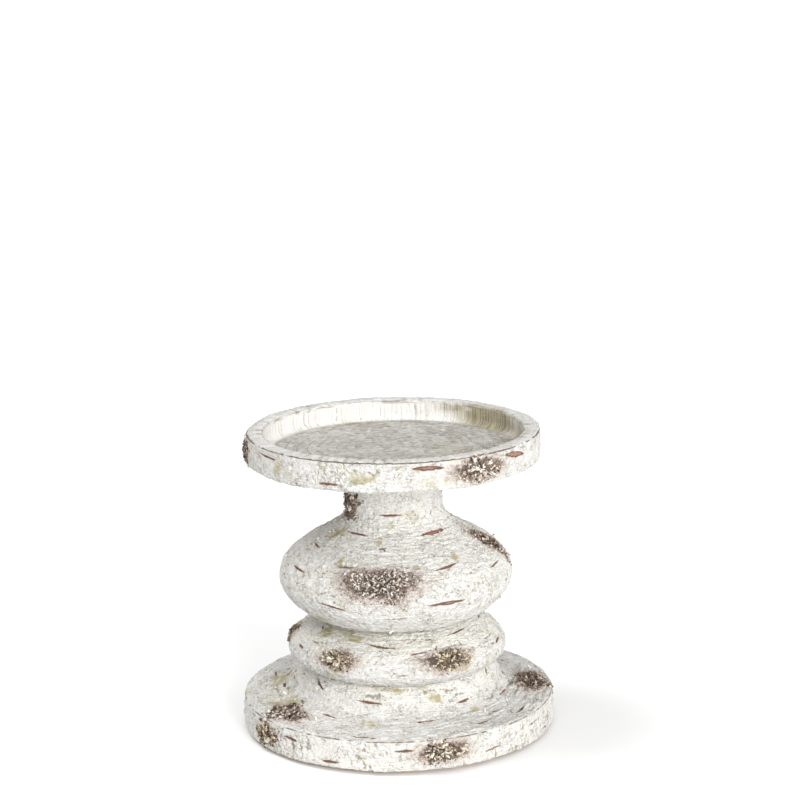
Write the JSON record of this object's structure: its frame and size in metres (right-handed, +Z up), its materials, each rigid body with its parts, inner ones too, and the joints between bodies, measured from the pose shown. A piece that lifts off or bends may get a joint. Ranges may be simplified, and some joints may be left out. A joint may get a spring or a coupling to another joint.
{
  "type": "candlestick",
  "caption": "Turned wooden candlestick with a shallow round dish for a pillar candle, a stacked bulb stem, a wide round base and a whitewashed birch-bark finish.",
  "frame": {"origin": "on the turning axis, in the plane that the felt disc stands on", "axes": "+Z up along the turning axis; -Y is the side taken as the front, +X to its right"},
  "size_m": [0.1304, 0.1309, 0.1262],
  "materials": {
    "whitewashed_bark": "matt whitewashed birch-bark texture over turned wood, cracked and flaked, with brown lens-shaped marks",
    "dark_bark": "rough crumbly dark brown bark with pale dry edges",
    "beech": "plain smooth beech",
    "zinc_steel": "bright zinc plate",
    "brass": "plain turned brass",
    "felt": "short grey-beige pressed felt"
  },
  "bodies": {
    "root": {"candle_dish": "whitewashed_bark", "upper_bulb": "whitewashed_bark", "lower_bulb": "whitewashed_bark", "base": "whitewashed_bark", "felt_disc": "felt", "tie_bolt": "zinc_steel", "bolt_washer": "zinc_steel", "threaded_insert": "brass", "base_dowel_1": "beech", "base_dowel_2": "beech", "waist_dowel_1": "beech", "waist_dowel_2": "beech", "dish_knot_left": "dark_bark", "dish_knot_front": "dark_bark", "dish_knot_back": "dark_bark", "neck_knot_left": "dark_bark", "upper_knot_front": "dark_bark", "upper_knot_right": "dark_bark", "upper_knot_back": "dark_bark", "lower_knot_left": "dark_bark", "lower_knot_front_left": "dark_bark", "lower_knot_front_right": "dark_bark", "lower_knot_back": "dark_bark", "base_knot_left": "dark_bark", "base_knot_right": "dark_bark", "base_knot_back": "dark_bark", "rim_knot_left": "dark_bark", "rim_knot_front": "dark_bark", "rim_knot_back": "dark_bark"}
  },
  "joints": []
}
